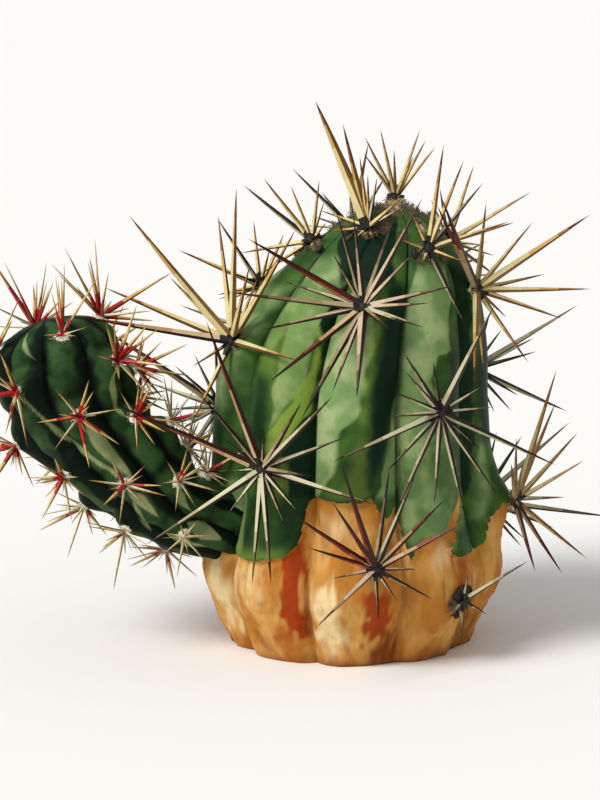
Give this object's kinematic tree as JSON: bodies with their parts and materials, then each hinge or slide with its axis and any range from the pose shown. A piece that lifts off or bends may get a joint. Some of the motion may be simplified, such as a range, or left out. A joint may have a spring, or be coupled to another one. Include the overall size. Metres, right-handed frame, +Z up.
{
  "type": "hedgehog cactus",
  "caption": "Ribbed hedgehog cactus with a side arm, a corky foot and long spines that stand in stars on its ribs, rooted in the ground.",
  "frame": {"origin": "middle of the flat cut under the main stem, at ground level", "axes": "+Z up, -Y towards the front, -X towards the arm"},
  "size_m": [0.2012, 0.1549, 0.1633],
  "materials": {
    "stem_skin": "waxy satin green skin over a tan corky foot",
    "arm_skin": "waxy satin dark green skin",
    "stem_spines": "hard straw-coloured spines with dark points on cream wool",
    "arm_spines": "straw spines, red at the root, on white wool"
  },
  "bodies": {
    "root": {"arm_lower": "arm_skin", "arm_upper": "arm_skin", "main_stem": "stem_skin", "spines_arm_0_16": "arm_spines", "spines_arm_0_39": "arm_spines", "spines_arm_0_62": "arm_spines", "spines_arm_0_85": "arm_spines", "spines_arm_1_28": "arm_spines", "spines_arm_1_50": "arm_spines", "spines_arm_1_74": "arm_spines", "spines_arm_2_16": "arm_spines", "spines_arm_2_39": "arm_spines", "spines_arm_2_62": "arm_spines", "spines_arm_2_85": "arm_spines", "spines_arm_3_28": "arm_spines", "spines_arm_3_50": "arm_spines", "spines_arm_3_74": "arm_spines", "spines_arm_4_16": "arm_spines", "spines_arm_4_39": "arm_spines", "spines_arm_4_62": "arm_spines", "spines_arm_4_85": "arm_spines", "spines_arm_5_28": "arm_spines", "spines_arm_5_50": "arm_spines", "spines_arm_5_74": "arm_spines", "spines_arm_6_16": "arm_spines", "spines_arm_6_39": "arm_spines", "spines_arm_6_62": "arm_spines", "spines_arm_6_85": "arm_spines", "spines_arm_7_28": "arm_spines", "spines_arm_7_50": "arm_spines", "spines_arm_7_74": "arm_spines", "spines_back_left_high": "stem_spines", "spines_back_left_low": "stem_spines", "spines_back_left_middle": "stem_spines", "spines_back_right_foot": "stem_spines", "spines_back_right_high": "stem_spines", "spines_back_right_middle": "stem_spines", "spines_crown": "stem_spines", "spines_front_high": "stem_spines", "spines_front_low": "stem_spines", "spines_left_back_foot": "stem_spines", "spines_left_back_high": "stem_spines", "spines_left_back_middle": "stem_spines", "spines_left_front_middle": "stem_spines", "spines_left_front_top": "stem_spines", "spines_left_high": "stem_spines", "spines_left_top": "stem_spines", "spines_right_back_high": "stem_spines", "spines_right_back_low": "stem_spines", "spines_right_back_middle": "stem_spines", "spines_right_front_foot": "stem_spines", "spines_right_front_middle": "stem_spines", "spines_right_front_top": "stem_spines", "spines_right_high": "stem_spines", "spines_right_low": "stem_spines"}
  },
  "joints": []
}
